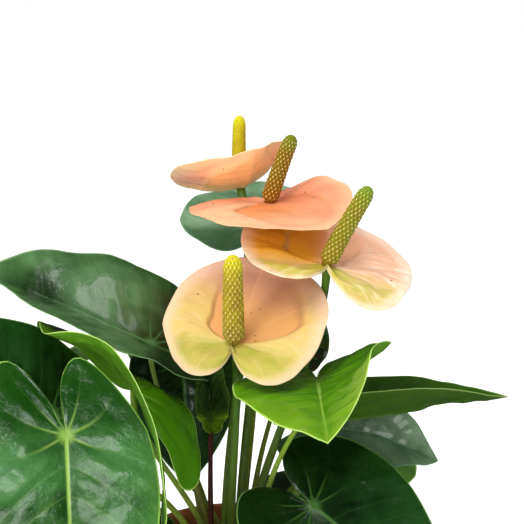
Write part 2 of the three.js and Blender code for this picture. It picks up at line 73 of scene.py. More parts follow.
# Blades. Their nets are in spokes and rings, and the back lobes are LOBE_SHARE of their length.
LEAF_THICKNESS = 0.8
SPATHE_THICKNESS = 1.0
SPADIX_SEAT = 0.8
LEAF_NET = (132, 32)
SPATHE_NET = (156, 40)
LOBE_SHARE = 0.4

# Heart outlines as (angle from the tip in degrees, reach)
LEAF_OUTLINE = np.array([
    (0, 1), (11, 0.87), (26, 0.73), (46, 0.62), (68, 0.54), (90, 0.49), (112, 0.45),
    (132, 0.43), (149, 0.39), (163, 0.28), (173, 0.14), (180, 0.07),
])
SPATHE_OUTLINE = np.array([
    (0, 1), (9, 0.94), (24, 0.84), (44, 0.7), (66, 0.57), (90, 0.51), (112, 0.5),
    (130, 0.53), (145, 0.51), (157, 0.38), (167, 0.2), (180, 0.07),
])

# What a blade has unless its own entry says otherwise
USUAL = dict(
    roll=0, spread=0, tail=1, uneven=0, skew=(0, 0), lobes=(-6, -6), fold=(10, 10), curl=(-16, -16),
    close=(0, 0), cup=(0.55, 0.55), reach=(0.4, 0.3), sway=(0, 0), look="deep",
)

# Leaves, as in the CAD model. look names the leaf's palette.
LEAVES = {
    "front_left": dict(
        at=(-88.1, -89.9, 219.1), heading=-79.5, rise=-62, length=128, width=102, spread=0.35,
        skew=(0.2, 0.36), droop=17.9, lobes=(-8, -8), fold=(8, 8), curl=(-14, -16), foot=(17.5, 228),
        reach=(0.48, 0.225), sway=(-0.7, -1.5), look="glossy",
    ),
    "folded_left": dict(
        at=(-54.7, -54.5, 232.3), heading=132, rise=33.2, roll=-0.1, length=100, width=90, spread=-0.3,
        tail=2.05, droop=44.4, lobes=(-42, -30), fold=(56, -20), curl=(0, -10), close=(-30, -30),
        foot=(11, 235), reach=(0.391, 0.305), sway=(-1.2, 1), look="fresh",
    ),
    "broad_left": dict(
        at=(-50.8, 10.4, 241.6), heading=181, rise=27.5, roll=-21.6, length=116, width=124, spread=0.2,
        droop=8.8, fold=(32, 18), curl=(-8, -20), foot=(11, 145), reach=(0.446, 0.277), sway=(2.6, 5.3),
        look="grey",
    ),
    "young_middle": dict(
        at=(-14, 3.4, 196.4), heading=98.3, rise=66.1, roll=-0.9, length=48, width=36, tail=1.2,
        droop=0.2, lobes=(80, 80), fold=(50, 50), curl=(10, 10), foot=(11, 190), look="bronze",
    ),
    "bright_right": dict(
        at=(49.9, -40.4, 234.8), heading=-89.7, rise=1.8, roll=8.2, length=88, width=97, droop=12.9,
        lobes=(-4, -4), fold=(12, 14), curl=(16, -14), close=(20, 0), foot=(11, 325), reach=(0.71, 0.197),
        look="fresh",
    ),
    "boat_right": dict(
        at=(62, 2, 195), heading=2, rise=9, roll=-10, length=109, width=84, droop=2, lobes=(-4, -4),
        fold=(24, 24), curl=(4, 10), foot=(11, 10), look="olive",
    ),
    "dark_right": dict(
        at=(48.2, -37.5, 155.6), heading=-24.2, rise=-31, roll=33.9, length=108, width=110, droop=18,
        lobes=(-8, -8), fold=(8, 10), curl=(-16, -10), foot=(17.5, 320),
    ),
    "grey_right": dict(
        at=(57.9, 46.7, 174.8), heading=-13.1, rise=4, roll=20.2, length=80, width=92, droop=39.6,
        lobes=(-10, -10), fold=(4, 10), curl=(-10, -8), foot=(17.5, 5), reach=(0.413, 0.314),
        sway=(1, -0.6), look="misty",
    ),
    "low_middle": dict(
        at=(34, 52, 124), heading=58, rise=14, roll=-14, length=76, width=68, droop=22, fold=(8, 8),
        curl=(-12, -12), foot=(17.5, 55),
    ),
    "far_left": dict(
        at=(-107.2, -25.5, 209.2), heading=179.5, rise=45, roll=-37.7, length=96, width=84, droop=17.1,
        lobes=(-8, -8), curl=(-12, -14), foot=(17.5, 206), reach=(0.454, 0.328), sway=(3.4, -2.5),
    ),
    "high_back": dict(
        at=(14.9, 96.3, 298.2), heading=92, rise=24, length=74, width=104, droop=16, fold=(8, 8),
        curl=(-10, -8), foot=(11, 100), reach=(0.466, 0.303), sway=(-0.6, -0.9), look="misty",
    ),
    "inner_right": dict(
        at=(42, 60, 222), heading=84, rise=32, length=54, width=40, droop=18, lobes=(0, 0), fold=(12, 12),
        curl=(-10, -12), foot=(11, 55), sway=(-16, 6),
    ),
    "low_left": dict(
        at=(-33.5, 41.8, 221.2), heading=-78.2, rise=-64.1, roll=-1.7, length=78, width=70, droop=14.6,
        fold=(8, 8), curl=(-12, -12), foot=(17.5, 143), reach=(0.561, 0.278), sway=(-6.9, 8.8),
    ),
    "back_left": dict(
        at=(-76.5, 80.3, 228.2), heading=146.5, rise=-23.7, roll=0.2, length=114, width=100, droop=27.4,
        foot=(17.5, 122), reach=(0.463, 0.282), sway=(-0.5, 1.5), look="glossy",
    ),
    "back_middle": dict(
        at=(9, 119, 246), heading=90, rise=-8, length=96, width=82, droop=16, foot=(17.5, 78),
        reach=(0.45, 0.3), sway=(14, 6), look="glossy",
    ),
    "back_right": dict(
        at=(72, 86, 152), heading=46, rise=-24, length=94, width=84, droop=26, foot=(17.5, 30),
        reach=(0.7, 0.3), look="glossy",
    ),
    "back_low": dict(
        at=(-56, 92, 150), heading=138, rise=-24, length=88, width=80, droop=24, curl=(-14, -14),
        foot=(17.5, 101), reach=(0.45, 0.3),
    ),
    "side_left": dict(
        at=(-84, 24, 138), heading=180, rise=-26, length=100, width=88, droop=24, foot=(17.5, 185),
        reach=(0.45, 0.3), look="glossy",
    ),
    "front_low": dict(
        at=(-34, -62, 130), heading=-112, rise=-30, length=92, width=84, droop=18, curl=(-14, -14),
        foot=(17.5, 262), reach=(0.45, 0.3),
    ),
}

# Blooms, as in the CAD model
BLOOMS = {
    "back": dict(
        at=(4, 68, 331), heading=-76, rise=18, roll=18, length=62, width=80, uneven=0.14, droop=-26,
        lobes=(14, 14), fold=(8, 12), curl=(22, 28), lean=(90, 14), spadix=45.5, girth=4.9, foot=(5, 160),
    ),
    "top": dict(
        at=(22.5, 33, 326.3), heading=-61.2, rise=0.8, roll=8.6, length=68, width=92, uneven=0.14,
        droop=11.9, lobes=(-40, -5), fold=(5, 8), curl=(14, -2), lean=(-43, 25), spadix=46.5, girth=5.1,
        foot=(5, 70), reach=(0.36, 0.291), sway=(-5.5, 35.4),
    ),
    "right": dict(
        at=(55.8, -18.3, 298.1), heading=85.1, rise=22.5, roll=1.6, length=62, width=100, tail=1.15,
        droop=9.9, lobes=(16, -22), fold=(10, -12), curl=(6, -6), lean=(-22, 29), spadix=53, girth=5.4,
        foot=(5, 340), reach=(0.374, 0.311), sway=(9.4, 14), cup=(0.5, 0.2),
    ),
    "front": dict(
        at=(2, -38.6, 256.8), heading=71, rise=37, roll=4, length=70, width=91, uneven=0.07,
        skew=(0.28, 0), droop=8, lobes=(4, 4), fold=(12, 8), curl=(-2, -6), lean=(-90, 12), spadix=54,
        girth=6.1, foot=(5, 250), cup=(0.42, 0.72),
    ),
}

# Leaf palettes in screen colours: the blade between its veins, its deeper and its fresher parts,
# bloom, a pale painted sheen in patches that stands for the room's reflection, the veins, the
# margin, the underside and the back lobes. The painted sheen's share says how far it shows, gloss
# is the roughness, coat and shine are the strength of the highlights, and rolls is the height of
# the rolls along the veins in metres.
LEAF_LOOKS = {
    "glossy": dict(
        field=(34, 92, 12), deep=(12, 54, 0), fresh=(78, 136, 20), bloom=(104, 148, 108),
        vein=(140, 176, 74), rim=(150, 196, 84), under=(84, 132, 34), sheen_share=0.3, gloss=0.2,
    ),
    "deep": dict(
        field=(18, 54, 10), deep=(6, 28, 4), fresh=(36, 86, 22), bloom=(58, 96, 62),
        vein=(74, 116, 50), rim=(112, 152, 74), under=(46, 78, 20), sheen_share=0.16, gloss=0.24,
        coat=0.25, shine=0.3, rolls=0.0005,
    ),
    "grey": dict(
        field=(28, 74, 14), deep=(6, 34, 0), fresh=(62, 110, 36), bloom=(124, 160, 118),
        vein=(84, 128, 74), rim=(122, 160, 104), under=(76, 112, 56), sheen_share=0.42, gloss=0.28,
    ),
    # The misty palette's blue-grey tones are partly painted sheen, the room's reflection painted into the
    # leaf's colour
    "misty": dict(
        field=(72, 112, 72), deep=(48, 86, 50), fresh=(92, 132, 90), bloom=(158, 182, 148),
        vein=(86, 130, 88), rim=(104, 146, 104), under=(80, 120, 76), sheen_share=0.6, gloss=0.36,
    ),
    "olive": dict(
        field=(30, 68, 0), deep=(18, 46, 0), fresh=(60, 98, 14), bloom=(66, 94, 30),
        vein=(96, 128, 54), rim=(132, 160, 84), under=(60, 94, 12), sheen_share=0.15, gloss=0.3,
        coat=0.1, shine=0.2,
    ),
    "fresh": dict(
        field=(84, 140, 2), deep=(66, 122, 2), fresh=(118, 172, 12), bloom=(132, 172, 60),
        vein=(142, 184, 74), rim=(186, 218, 112), under=(96, 152, 24), sheen_share=0.1, gloss=0.2,
        rolls=0.0003,
    ),
    "bronze": dict(
        field=(40, 66, 22), deep=(22, 42, 12), fresh=(70, 100, 24), bloom=(70, 92, 60),
        vein=(60, 84, 30), rim=(78, 108, 34), under=(124, 158, 24), lobe=(118, 160, 24), sheen_share=0.2,
        gloss=0.18,
    ),
}

# Spathe palettes in screen colours, for the upper face and the underside: the cup round the
# spadix, whose darker tone on the upper face is partly painted shade in its hollow, the field
# outside it, the two back lobes, the blush towards the tip and the margin.
# left tints the wing on the left by left_share; on the right bloom this tint is painted shade with
# painted light through it, for the wing that lies in the top bloom's shadow. lines and streaks say
# how far the veins show.
SPATHE_LOOKS = {
    "back": dict(
        cup=(246, 186, 118), field=(252, 184, 142), lobe=(216, 210, 96), blush=(250, 174, 132),
        rim=(246, 210, 168), under_cup=(252, 206, 140), under_field=(255, 186, 160),
        under_lobe=(228, 218, 104), under_blush=(255, 206, 150),
    ),
    "top": dict(
        cup=(238, 150, 96), field=(250, 186, 146), lobe=(244, 156, 124), blush=(250, 178, 138),
        rim=(250, 184, 140), left=(226, 136, 100), left_share=0.75,
        under_cup=(222, 176, 96), under_field=(244, 176, 128),
        under_lobe=(214, 186, 108), under_blush=(240, 168, 120),
    ),
    # The right bloom's mustard left wing is painted shade: the top bloom's shadow on it, with painted
    # light through it
    "right": dict(
        cup=(238, 186, 144), field=(238, 184, 148), lobe=(180, 182, 44), blush=(240, 184, 150),
        rim=(255, 224, 204), left=(226, 166, 8), left_share=0.95, lines=0.35, streaks=0.95,
        under_cup=(214, 168, 84), under_field=(240, 178, 124),
        under_lobe=(206, 196, 84), under_blush=(232, 160, 104),
    ),
    "front": dict(
        cup=(222, 164, 102), field=(222, 190, 112), lobe=(164, 170, 56), blush=(200, 152, 130),
        rim=(244, 204, 180), under_cup=(214, 180, 104), under_field=(238, 194, 132),
        under_lobe=(206, 204, 104), under_blush=(236, 182, 132),
    ),
}

# Spadix palettes: foot, body and tip, how far the florets' pale dots show, and their relief in mm
SPADIX_LOOKS = {
    "back": dict(foot=(150, 132, 6), body=(176, 160, 4), tip=(208, 206, 20), dots=0.08, relief=0.24),
    "top": dict(foot=(150, 96, 8), body=(134, 102, 8), tip=(112, 124, 18), dots=0.85, relief=1.0),
    "right": dict(foot=(150, 122, 20), body=(136, 124, 18), tip=(112, 140, 24), dots=0.75, relief=1.0),
    "front": dict(foot=(150, 128, 46), body=(158, 134, 34), tip=(206, 192, 14), dots=0.75, relief=1.0),
}


# Screen colour, 0 to 255, times a gain, as the linear colour that a shader takes
def linear(screen, gain=1.0):
    shares = [c * gain / 255.0 for c in screen]
    return [s / 12.92 if s <= 0.04045 else ((s + 0.055) / 1.055) ** 2.4 for s in shares] + [1.0]


def smooth(value, low, high):
    t = np.clip((value - low) / (high - low), 0.0, 1.0)
    return t * t * (3.0 - 2.0 * t)


# Bump of height 1 round a middle value
def bell(value, middle, width):
    return np.exp(-((value - middle) / width) ** 2)


def unit(vector):
    return vector / np.linalg.norm(vector, axis=-1, keepdims=True)


def polar(radius, angle):
    return radius * math.cos(angle), radius * math.sin(angle)


# Even steps of a full turn
def turns(count):
    return np.linspace(0, math.tau, count, endpoint=False)


# Rotation of a lamp or camera that looks along the way
def aimed(way):
    return Vector(way).to_track_quat("-Z", "Y").to_euler()


# Linear colours of a palette, without the entries that are not colours
def linear_tones(look):
    return {key: linear(value) for key, value in look.items() if isinstance(value, tuple)}


# Broad soft noise between about -1 and 1: a sum of waves in random directions
def ripples(points, wavelength, seed, waves=7):
    draw = np.random.default_rng(seed)
    total = np.zeros(len(points))
    for _ in range(waves):
        way = unit(draw.normal(size=points.shape[1]))
        length = wavelength * draw.uniform(0.7, 1.6)
        total += np.sin(points @ way * (math.tau / length) + draw.uniform(0, math.tau))
    return total / math.sqrt(waves)


class Paint:
    """Nodes of a material, or of the world. Its colour and its relief grow in layers."""

    def __init__(self, name, kind="materials"):
        self.made = getattr(bpy.data, kind).new(name)
        self.made.use_nodes = True
        self.tree = self.made.node_tree
        self.colour = None
        self.normal = None

    def feed(self, socket, value):
        if isinstance(value, bpy.types.NodeSocket):
            self.tree.links.new(value, socket)
        elif value is not None:
            socket.default_value = value

    def node(self, kind, inputs, output=0, **settings):
        node = self.tree.nodes.new("ShaderNode" + kind)
        for key, value in settings.items():
            setattr(node, key, value)
        for key, value in inputs.items():
            self.feed(node.inputs[key], value)
        return node.outputs[output]

    def attribute(self, name):
        vector = self.node("Attribute", {}, "Vector", attribute_name=name)
        return self.node("SeparateXYZ", {0: vector}).node.outputs

    def math(self, operation, *values):
        return self.node("Math", dict(enumerate(values)), operation=operation)

    def times(self, value, *others):
        for other in others:
            value = self.math("MULTIPLY", value, other)
        return value

    def plus(self, a, b):
        return self.math("ADD", a, b)

    def less(self, a, b):
        return self.math("SUBTRACT", a, b)

    # Distance in mm from the nearest vein of a family whose veins lie pitch apart
    def vein_gap(self, phase, pitch):
        return self.times(self.math("PINGPONG", phase, 0.5), pitch)

    def step(self, value, low, high, start=0.0, end=1.0):
        given = dict(enumerate((value, low, high, start, end)))
        return self.node("MapRange", given, interpolation_type="SMOOTHSTEP")

    def mix(self, share, a, b):
        return self.node("Mix", {0: share, 6: a, 7: b}, 2, data_type="RGBA")

    def over(self, share, tone):
        self.colour = self.mix(share, self.colour, tone)

    def vector(self, x, y, z):
        return self.node("CombineXYZ", {0: x, 1: y, 2: z})

    def place(self):
        return self.node("TexCoord", {}, "Object")

    def noise(self, scale, detail=3.0, roughness=0.5, at=None):
        given = {"Scale": scale, "Detail": detail, "Roughness": roughness, "Vector": at or self.place()}
        return self.node("TexNoise", given)

    def cells(self, scale):
        return self.node("TexVoronoi", {"Vector": self.place(), "Scale": scale}, "Distance")

    def bump(self, height, distance, strength):
        given = {"Height": height, "Distance": distance, "Strength": strength, "Normal": self.normal}
        self.normal = self.node("Bump", given)

    def finished(self, **values):
        surface = self.tree.nodes["Principled BSDF"]
        for name, value in {"Base_Color": self.colour, "Normal": self.normal, **values}.items():
            self.feed(surface.inputs[name.replace("_", " ")], value)
        return self.made


def linked(name, data):
    holder = bpy.data.objects.new(name, data)
    bpy.context.scene.collection.objects.link(holder)
    return holder


def mesh_object(name, points, faces, paint, replaced, attributes=None):
    """A closed piece of the plant that stands for one CAD node, or lies on the mix."""
    mesh = bpy.data.meshes.new(name)
    mesh.from_pydata((np.asarray(points) * MM).tolist(), [], [list(f) for f in faces])
    for key, values in (attributes or {}).items():
        layer = mesh.attributes.new(key, "FLOAT_VECTOR", "POINT")
        layer.data.foreach_set("vector", np.asarray(values, np.float32).ravel())
    mesh.materials.append(paint)
    mesh.shade_smooth()
    piece = linked(name, mesh)
    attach(piece, "root")
    if replaced:
        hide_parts(replaced)
    return piece


# Smooth reading of an outline table: cubic between its entries, level at the last
def reach_at(outline, degrees):
    angles, reaches = outline.T
    slopes = np.zeros(len(angles))
    slopes[0] = (reaches[1] - reaches[0]) / angles[1]
    slopes[1:-1] = (reaches[2:] - reaches[:-2]) / (angles[2:] - angles[:-2])
    i = np.clip(np.searchsorted(angles, degrees, side="left") - 1, 0, len(angles) - 2)
    span = angles[i + 1] - angles[i]
    t = (degrees - angles[i]) / span
    near = reaches[i] * (1 + 2 * t) * (1 - t) ** 2 + slopes[i] * span * t * (1 - t) ** 2
    far = reaches[i + 1] * t * t * (3 - 2 * t) + slopes[i + 1] * span * t * t * (t - 1)
    return near + far


# Junction of a blade, and its directions there: along the midrib, to its left, and out of its face
def blade_frame(spec):
    h, r, roll = (math.radians(spec[key]) for key in ("heading", "rise", "roll"))
    along = np.array((*polar(math.cos(r), h), math.sin(r)))
    level = np.array((-math.sin(h), math.cos(h), 0.0))
    left = level * math.cos(roll) + np.cross(along, level) * math.sin(roll)
    return np.array(spec["at"], float), along, left, np.cross(along, left)


# Distance walked along an arc that turns at an even rate: forward and sideways
def arc(distance, turn):
    angle = distance * turn
    sideways = distance * np.sin(angle / 2) * np.sinc(angle / math.tau)
    return distance * np.sinc(angle / math.pi), sideways


# Points of the bent blade whose flat places are u to the left of the midrib and v along it
def blade_points(spec, u, v):
    at, along, left, up = blade_frame(spec)
    ahead = math.radians(-spec["droop"]) / spec["length"]
    behind = np.radians(spec["lobes"]) / (LOBE_SHARE * spec["length"])
    lobe_turn = behind[1] + (behind[0] - behind[1]) * smooth(u, -4, 4)
    turn = np.where(v >= 0, ahead, lobe_turn)
    way = np.where(v < 0, -1.0, 1.0)
    forward, lifted = arc(np.abs(v), turn)
    angle = (np.abs(v) * turn)[:, None]
    local_up = up * np.cos(angle) - along * way[:, None] * np.sin(angle)
    closing = np.where(u >= 0, *spec["close"]) * smooth(v / spec["length"], 0.0, 0.5)
    fold = np.radians(np.where(u >= 0, *spec["fold"]) + closing)
    curl = np.radians(np.where(u >= 0, *spec["curl"])) / (spec["width"] / 2)
    out, raised = arc(np.abs(u), curl)
    across = (np.sign(u) * (np.cos(fold) * out - np.sin(fold) * raised))[:, None]
    rise = (np.sin(fold) * out + np.cos(fold) * raised)[:, None]
    middle = at + along * (way * forward)[:, None] + up * lifted[:, None]
    return middle + left * across + local_up * rise


def blade_normals(spec, u, v, step=0.05):
    along_v = blade_points(spec, u, v + step) - blade_points(spec, u, v - step)
    along_u = blade_points(spec, u + step, v) - blade_points(spec, u - step, v)
    return unit(np.cross(along_v, along_u))


# Flat place of each point of the blade's net: angle and share of the way to the margin
def flat_place(spec, outline, theta, share):
    reach = reach_at(outline, np.degrees(np.abs(theta))) * share
    ahead = reach * np.cos(theta)
    wider = 1 + spec["spread"] * (ahead - 0.35)
    v = ahead * spec["length"] * np.where(ahead < 0, spec["tail"], 1)
    skew = np.where(theta >= 0, *spec["skew"])
    width = spec["width"] * (1 - spec["uneven"] * np.sign(theta))
    return reach * np.sin(theta) * width * wider + skew * np.minimum(v, 0), v


# Values read off at even steps of the way along a line of points, and the length of that way
def evenly(values, points, count):
    walked = np.concatenate(([0], np.cumsum(np.linalg.norm(np.diff(points, axis=0), axis=1))))
    return np.interp(np.linspace(0, walked[-1], count), walked, values), walked[-1]


# Spokes at even steps along the margin, the same on both sides of the midrib
def spoke_angles(spec, outline, count):
    fine = np.linspace(0, math.pi, 721)
    half, _ = evenly(fine, np.column_stack(flat_place(spec, outline, fine, 1.0)), count // 2 + 1)
    return np.concatenate((half, -half[-2:0:-1]))


# Side veins between the midrib and the margin, and the basal veins of the back lobes. Each family
# is a phase that is whole on its veins. The third value is 1 where the basal family holds.
# SIDE_GAP is about the distance between two side veins.
SIDE_VEINS = 8.0
SIDE_GAP = 11.0
BASAL_STEP = math.radians(34.0)
FAMILY_EDGE = (42, 62)


def vein_phases(spec, u, v, theta, share):
    across = np.abs(u) / spec["width"]
    ahead = v / spec["length"]
    side = (ahead - 0.34 * across - 0.75 * across * across) * SIDE_VEINS
    basal = (np.abs(theta) - 0.32 * share * share * np.sin(np.abs(theta))) / BASAL_STEP
    return side, basal, smooth(np.degrees(np.abs(theta)), *FAMILY_EDGE)


# Narrow furrow on the whole numbers of a vein phase, 1 at its bottom
def furrow(phase, width):
    return bell(phase, np.round(phase), width)


# Lift of the blade's two faces together, in mm: thin sunk veins with slightly swollen fields
# between them, a groove on the midrib, and a gently waved margin
def leaf_relief(spec, u, v, theta, share, seed):
    side, basal, lobes = vein_phases(spec, u, v, theta, share)
    inside = smooth(share, 0.05, 0.3) * (1 - smooth(share, 0.84, 1.0))
    sunk = (1 - lobes) * furrow(side, 0.1) + lobes * furrow(basal, 0.07) * 1.5
    swell = (1 - lobes) * np.cos(math.tau * side) + lobes * np.cos(math.tau * basal) * 1.6
    groove = bell(u, 0, 2.6) * smooth(v, -2, 8)
    flat = np.column_stack((u, v))
    waves = 0.8 * ripples(flat, 46.0, seed) + 0.22 * ripples(flat, 15.0, seed + 500)
    margin = np.sin(np.abs(theta) * 9 + seed) * share ** 5
    return (
        -0.16 * swell * inside - 0.16 * sunk * inside - 0.5 * groove * inside
        + waves * smooth(share, 0.1, 0.6) + 0.7 * margin
    )


# How far a point of a spathe lies on the way to the edge of the cup, which opens towards the tip
# and closes on the junction in front of the back lobes: below 1 inside it
def cup_edge(spec, theta, share):
    turned = np.degrees(np.abs(theta))
    edge = np.where(theta >= 0, *spec["cup"])
    edge = edge + (0.86 - edge) * (1 - smooth(turned, 4, 48))
    edge = edge * (1 - 0.82 * smooth(turned, 56, 100))
    return share / edge, edge


# Lift of a spathe's faces: a shallow cup in front of the spadix with a crisp edge on each wing,
# swollen back lobes with a furrow in front of them, and puckered veins
def spathe_relief(spec, u, v, theta, share, seed):
    _, basal, _ = vein_phases(spec, u, v, theta, share)
    turned = np.degrees(np.abs(theta))
    inside, edge = cup_edge(spec, theta, share)
    wing = smooth(turned, 14, 40) * smooth(edge, 0.14, 0.4)
    cup = -1.5 * smooth(share, 0.04, 0.25) * (1 - smooth(inside, 0.93, 1.12)) * smooth(edge, 0.1, 0.4)
    crease = -0.5 * bell(inside, 0.95, 0.05) * wing
    swollen = 2.3 * smooth(turned, 114, 138) * bell(share, 0.6, 0.24)
    shoulder = 1.8 * bell(turned, 86, 11) * bell(share, 0.58, 0.22)
    furrows = -1.2 * bell(turned, 108, 8) * smooth(share, 0.1, 0.3) * (1 - smooth(share, 0.72, 0.95))
    spokes = smooth(share, 0.4, 0.65) * (1 - smooth(share, 0.9, 1.0)) * smooth(inside, 0.95, 1.2)
    pucker = -0.14 * np.cos(math.tau * basal * 2.4) * spokes
    flat = np.column_stack((u, v))
    waves = 0.6 * ripples(flat, 30.0, seed) + 0.16 * ripples(flat, 9.0, seed + 500)
    return cup + crease + swollen + shoulder + furrows + pucker + waves * smooth(share, 0.25, 0.8)


# Quads between neighbouring rings of points
def ring_quads(rings, sides):
    here = np.arange(sides)
    after = (here + 1) % sides
    starts = sides * np.arange(rings - 1)[:, None]
    quads = np.stack((starts + here, starts + after, starts + after + sides, starts + here + sides), -1)
    return quads.reshape(-1, 4)


def blade(name, spec, outline, net, thickness, relief, paint, seed):
    """Heart-shaped blade with two faces, a rounded margin and a rib under its midrib."""
    spokes, rings = net
    angles = spoke_angles(spec, outline, spokes)
    steps = np.append(np.linspace(0, 1, rings)[1:-1], (0.988, 1.0))
    theta = np.concatenate(([0.0], np.tile(angles, len(steps))))
    share = np.concatenate(([0.0], np.repeat(steps, spokes)))
    u, v = flat_place(spec, outline, theta, share)
    normal = blade_normals(spec, u, v)
    lift = relief(spec, u, v, theta, share, seed)
    middle = blade_points(spec, u, v) + normal * lift[:, None]
    half = thickness / 2 * (1 - 0.45 * smooth(share, 0.9, 1.0))
    rib = 0.9 * bell(u, 0, 1.6) * smooth(v, -1, 6) * (1 - smooth(share, 0.1, 1.0)) * (v > 0)
    upper = middle + normal * half[:, None]
    lower = middle - normal * (half + rib)[:, None]
    rim = middle[-spokes:]
    outer = unit(rim - middle[-3 * spokes:-2 * spokes]) * (thickness * 0.2) + rim
    count = len(middle)
    here = np.arange(spokes)
    after = (here + 1) % spokes
    fan = np.column_stack((np.zeros(spokes, int), 1 + here, 1 + after))
    quads = 1 + ring_quads(len(steps), spokes)[:, (0, 3, 2, 1)]
    edge = count - spokes
    wall = 2 * count
    faces = [*fan, *quads, *(fan[:, ::-1] + count), *(quads[:, ::-1] + count)]
    for near, far in ((edge, wall), (wall, count + edge)):
        faces += [*np.column_stack((near + here, far + here, far + after, near + after))]
    side, basal, lobes = vein_phases(spec, u, v, theta, share)
    if relief is spathe_relief:
        lobes = np.minimum(cup_edge(spec, theta, share)[0], 9.0)
    order = np.r_[0:count, 0:count, edge:count]
    face = np.repeat((1, -1, 0), (count, count, spokes))
    attributes = {
        "flat": np.column_stack((u, v / spec["length"], share))[order],
        "veins": np.column_stack((side, basal, lobes))[order],
        "face": np.column_stack((np.hypot(u, v)[order], face, np.abs(theta)[order])),
    }
    points = np.concatenate((upper, lower, outer))
    return mesh_object(name, points, faces, paint, name, attributes)


def on_bezier(controls, t):
    degree = len(controls) - 1
    return sum(
        math.comb(degree, i) * ((1 - t) ** (degree - i) * t ** i)[:, None] * c
        for i, c in enumerate(controls)
    )


# Even steps along a Bezier curve, with their directions and the curve's length
def bezier(controls, count):
    t = np.linspace(0, 1, 400)
    even, length = evenly(t, on_bezier(controls, t), count)
    centre = on_bezier(controls, even)
    return centre, unit(np.gradient(centre, axis=0)), length


# Spokes of each ring round a curve, one for each side of the tube, carried along without twisting
def ring_spokes(ways, sides):
    spoke = np.cross(ways[0], (0.0, 1.0, 0.0) if abs(ways[0][1]) < 0.9 else (1.0, 0.0, 0.0))
    first = []
    for way in ways:
        spoke = unit(spoke - way * (spoke @ way))
        first.append(spoke)
    other = np.cross(ways, first)
    turn = turns(sides)[:, None]
    return np.array(first)[:, None] * np.cos(turn) + other[:, None] * np.sin(turn)


# Faces of a tube whose points are its rings, then the middle of its first end and of its last
def tube_faces(rings, sides):
    here = np.arange(sides)
    after = (here + 1) % sides
    first = rings * sides
    last = first - sides
    caps = [*np.column_stack((np.full(sides, first), after, here))]
    caps += [*np.column_stack((np.full(sides, first + 1), last + here, last + after))]
    return [*ring_quads(rings, sides), *caps]


# Ring at the end of a stem, slid along its way onto the plane that holds seat and is square to up
def seated(points, way, seat, up):
    return points + way * ((seat - points) @ up / (way @ up))[:, None]


STEM_SIDES = 20
STEM_RINGS = 72


# Where the stem stands in the mix
def foot_place(spec):
    ring, angle = spec["foot"]
    return polar(ring, math.radians(angle))


def stem(name, spec, thickness, radius_at, paint):
    """Round stem from its foot in the mix to the underside of its blade."""
    at, _, _, up = blade_frame(spec)
    straight = unit(at - (0, 0, MIX_TOP))
    arrival = unit(up * 0.75 + straight * 0.6)
    dip = math.radians(max(0.0, -min(spec["fold"])))
    top_radius = float(radius_at(np.array(1.0)))
    under = at - up * (thickness / 2 + CLEARANCE + top_radius * math.tan(dip))
    foot = np.array((*foot_place(spec), 0.0))
    lean = unit(foot * 0.012 + (0, 0, 1))
    foot[2] = MIX_TOP - ROOTED_DEPTH
    span = np.linalg.norm(under - foot)
    first = foot + lean * span * spec["reach"][0]
    second = under - arrival * span * spec["reach"][1] + (*spec["sway"], 0)
    centre, ways, _ = bezier([foot, first, second, under], STEM_RINGS)
    t = np.linspace(0, 1, STEM_RINGS)
    points = centre[:, None] + ring_spokes(ways, STEM_SIDES) * radius_at(t)[:, None, None]
    points[-1] = seated(points[-1], ways[-1], at - up * (0.25 * thickness), up)
    points = np.concatenate((points.reshape(-1, 3), centre[:1], points[-1].mean(0, keepdims=True)))
    along = np.concatenate((np.repeat(t, STEM_SIDES), (0, 1)))
    attributes = {"along": np.outer(along, (1, 0, 0))}
    return mesh_object(name, points, tube_faces(STEM_RINGS, STEM_SIDES), paint, name, attributes)


def petiole_radius(t):
    return 2.2 - 0.7 * np.minimum(1, t * 1.4) + 0.4 * bell(t, 0.96, 0.05)


def peduncle_radius(t):
    return 2.7 - 0.4 * t + 0.5 * bell(t, 1, 0.04)


FLORETS_ROUND = 12
FLORET_PITCH = 2.3
SPADIX_SIDES = 120
SPADIX_RINGS = 240


def spadix(name, spec, relief, paint):
    """Blunt finger set with florets in staggered rows."""
    at, _, _, up = blade_frame(spec)
    start = at + up * (SPATHE_THICKNESS / 2 + SPADIX_SEAT)
    heading, tilt = (math.radians(a) for a in spec["lean"])
    lean = np.array((*polar(math.sin(tilt), heading), math.cos(tilt)))
    size = spec["spadix"]
    end = start + lean * size
    bend = start + (end - start) * 0.55 + up * size * 0.055
    centre, ways, length = bezier([start, bend, end], SPADIX_RINGS)
    t = np.linspace(0, 1, SPADIX_RINGS)
    tip = np.sqrt(np.maximum(0, 1 - np.maximum(0, (t - 0.85) / 0.15) ** 2))
    profile = spec["girth"] * np.minimum(1, 0.5 + t * 7) * (1 - 0.2 * t) * np.maximum(tip, 0.02)
    turn = turns(SPADIX_SIDES)
    row = t * length / FLORET_PITCH
    net = np.cos(FLORETS_ROUND * turn)[None] * np.cos(math.pi * row)[:, None]
    shown = (smooth(t, 0.0, 0.06) * smooth(profile, 0.6, 3.0))[:, None]
    bumps = relief * (np.abs(0.5 + 0.5 * net) ** 0.8 - 0.35) * shown
    points = centre[:, None] + ring_spokes(ways, SPADIX_SIDES) * (profile[:, None] + bumps)[..., None]
    points[0] = seated(points[0], ways[0], at + up * (SPATHE_THICKNESS * 0.3), up)
    points = np.concatenate((points[:-1].reshape(-1, 3), points[0].mean(0, keepdims=True), centre[-1:]))
    along = np.repeat(t[:-1], SPADIX_SIDES)
    florets = np.column_stack((along, (net * shown)[:-1].ravel(), np.zeros_like(along)))
    attributes = {"floret": np.concatenate((florets, ((0, -1, 0), (1, -1, 0))))}
    faces = tube_faces(SPADIX_RINGS - 1, SPADIX_SIDES)
    return mesh_object(name, points, faces, paint, name, attributes)
